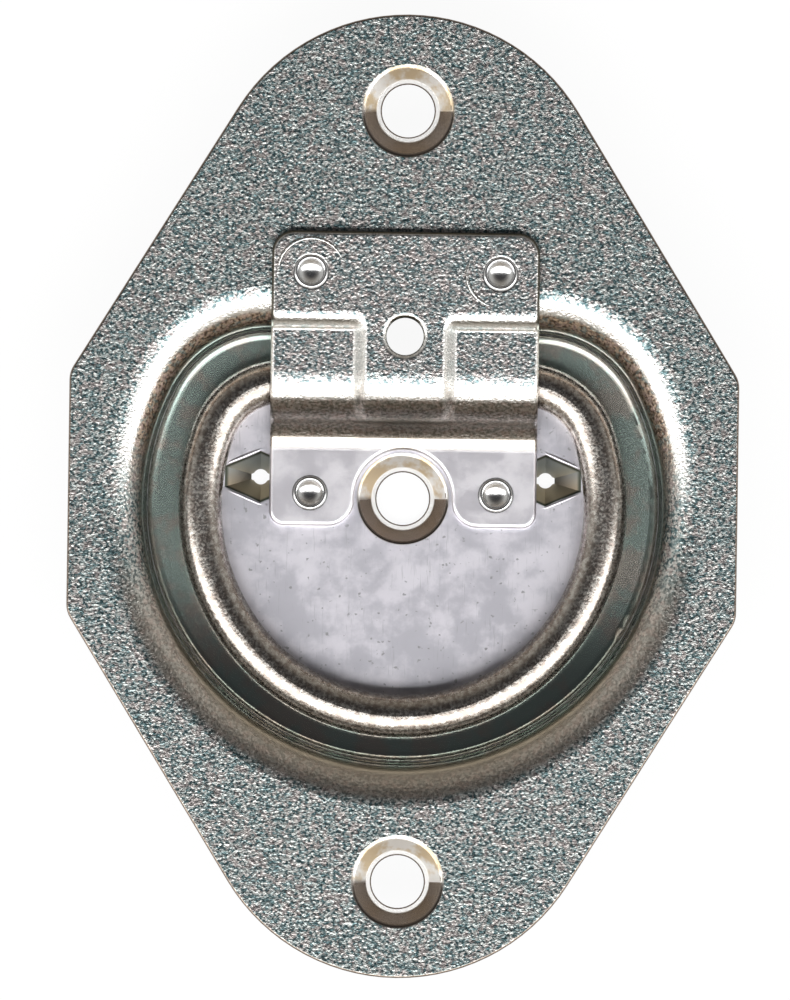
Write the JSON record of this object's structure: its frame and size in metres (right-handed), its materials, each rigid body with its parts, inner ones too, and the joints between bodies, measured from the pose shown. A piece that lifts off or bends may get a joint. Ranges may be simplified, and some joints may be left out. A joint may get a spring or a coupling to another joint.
{
  "type": "recessed tie-down anchor",
  "caption": "Recessed floor tie-down: a pressed hexagonal pan with a D-shaped dish, and a welded keeper bracket over a D-ring that folds flush.",
  "frame": {"origin": "midway between the flange screws, on the underside of the flange, which is the deck's surface", "axes": "+X across the flange, +Y along it towards the keeper bracket, +Z out of the deck, away from the dish"},
  "size_m": [0.114, 0.164, 0.0182],
  "materials": {
    "zinc_pan": "bright zinc plate over rolled sheet, fine sparkling grain",
    "zinc_bracket": "bright zinc plate, fine sparkling grain, rolled edges",
    "zinc_wire": "bright zinc plate over drawn wire"
  },
  "bodies": {
    "base": {"pan": "zinc_pan", "keeper_bracket": "zinc_bracket"},
    "ring": {"ring": "zinc_wire"}
  },
  "joints": [
    {"name": "ring_swing", "type": "hinge", "parent": "base", "child": "ring", "pos_m": [0, 0.01935, -0.00495], "axis": [-1, 0, 0], "range_deg": [0, 118]}
  ]
}
